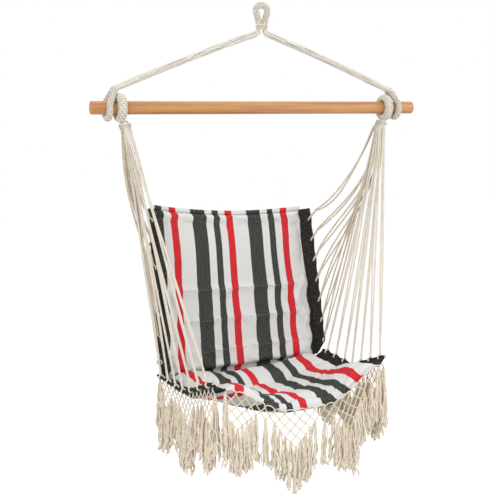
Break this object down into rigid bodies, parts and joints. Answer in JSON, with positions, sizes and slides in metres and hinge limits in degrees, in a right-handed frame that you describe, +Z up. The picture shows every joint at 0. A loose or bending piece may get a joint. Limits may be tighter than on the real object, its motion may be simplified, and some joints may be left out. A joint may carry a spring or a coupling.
{
  "type": "hammock chair",
  "caption": "Padded striped sling chair hung by fans of cotton cord from a round wooden spreader bar, with a rope loop to hang it by and a knotted fringe.",
  "frame": {"origin": "the hook's bearing point, inside the top of the hang loop", "axes": "+Z up along the load, X along the spreader bar, -Y the way the sitter faces"},
  "size_m": [1, 0.5412, 1.3124],
  "materials": {
    "bar_wood": "turned hardwood, oiled, satin",
    "rope": "undyed cotton rope, served and laid",
    "cord": "undyed twisted cotton cord",
    "striped_cover": "woven cotton, white with charcoal and red stripes",
    "canvas": "plain woven cotton, white with charcoal and red stripes like the cover",
    "webbing": "coarse black woven cotton band",
    "fringe": "undyed cotton, knotted net with tassels"
  },
  "bodies": {
    "loop": {"hang_loop": "rope"},
    "throat": {"throat_seizing": "rope"},
    "hanger": {"rope_leg_left": "rope", "rope_leg_right": "rope", "leg_eye_left": "rope", "leg_eye_right": "rope"},
    "bar": {"spreader_bar": "bar_wood"},
    "seat": {"clew_ring_left": "cord", "clew_ring_right": "cord", "clew_seizing_left": "cord", "clew_seizing_right": "cord", "seat_cushion": "striped_cover", "seat_canvas": "canvas", "front_binding": "striped_cover", "front_fringe": "fringe", "fringe_left": "fringe", "fringe_right": "fringe", "seat_hem_left": "webbing", "seat_hem_right": "webbing", "seat_edge_rope_left": "cord", "seat_edge_rope_right": "cord", "back_cord_left_1": "cord", "back_cord_left_2": "cord", "back_cord_left_3": "cord", "back_cord_left_4": "cord", "back_cord_left_5": "cord", "back_cord_left_6": "cord", "back_cord_left_7": "cord", "back_cord_right_1": "cord", "back_cord_right_2": "cord", "back_cord_right_3": "cord", "back_cord_right_4": "cord", "back_cord_right_5": "cord", "back_cord_right_6": "cord", "back_cord_right_7": "cord", "seat_cord_left_1": "cord", "seat_cord_left_2": "cord", "seat_cord_left_3": "cord", "seat_cord_left_4": "cord", "seat_cord_left_5": "cord", "seat_cord_left_6": "cord", "seat_cord_left_7": "cord", "seat_cord_right_1": "cord", "seat_cord_right_2": "cord", "seat_cord_right_3": "cord", "seat_cord_right_4": "cord", "seat_cord_right_5": "cord", "seat_cord_right_6": "cord", "seat_cord_right_7": "cord"},
    "back": {"back_cushion": "striped_cover", "back_canvas": "canvas", "top_hem": "striped_cover", "back_hem_left": "webbing", "back_hem_right": "webbing", "back_edge_rope_left": "cord", "back_edge_rope_right": "cord"}
  },
  "joints": [
    {"name": "spin", "type": "hinge", "parent": "loop", "child": "throat", "pos_m": [0, 0, -0.044], "axis": [0, 0, 1], "range_deg": [-180, 180]},
    {"name": "swing_fore_aft", "type": "hinge", "parent": "throat", "child": "hanger", "pos_m": [0, 0, -0.0681], "axis": [1, 0, 0], "range_deg": [-25, 25]},
    {"name": "bar_roll", "type": "hinge", "parent": "hanger", "child": "bar", "pos_m": [0, 0, -0.278], "axis": [1, 0, 0], "continuous": true},
    {"name": "seat_swing", "type": "hinge", "parent": "hanger", "child": "seat", "pos_m": [0, 0, -0.278], "axis": [1, 0, 0], "range_deg": [-25, 25]},
    {"name": "back_fold", "type": "hinge", "parent": "seat", "child": "back", "pos_m": [-0.009, 0.12, -1.072], "axis": [-0.999, 0, -0.0436], "range_deg": [-5, 20], "stiffness_Nm_per_rad": 60, "springref_deg": -0.34, "deforming": ["back_cord_left_1", "back_cord_left_2", "back_cord_left_3", "back_cord_left_4", "back_cord_left_5", "back_cord_left_6", "back_cord_left_7", "back_cord_right_1", "back_cord_right_2", "back_cord_right_3", "back_cord_right_4", "back_cord_right_5", "back_cord_right_6", "back_cord_right_7"]}
  ]
}
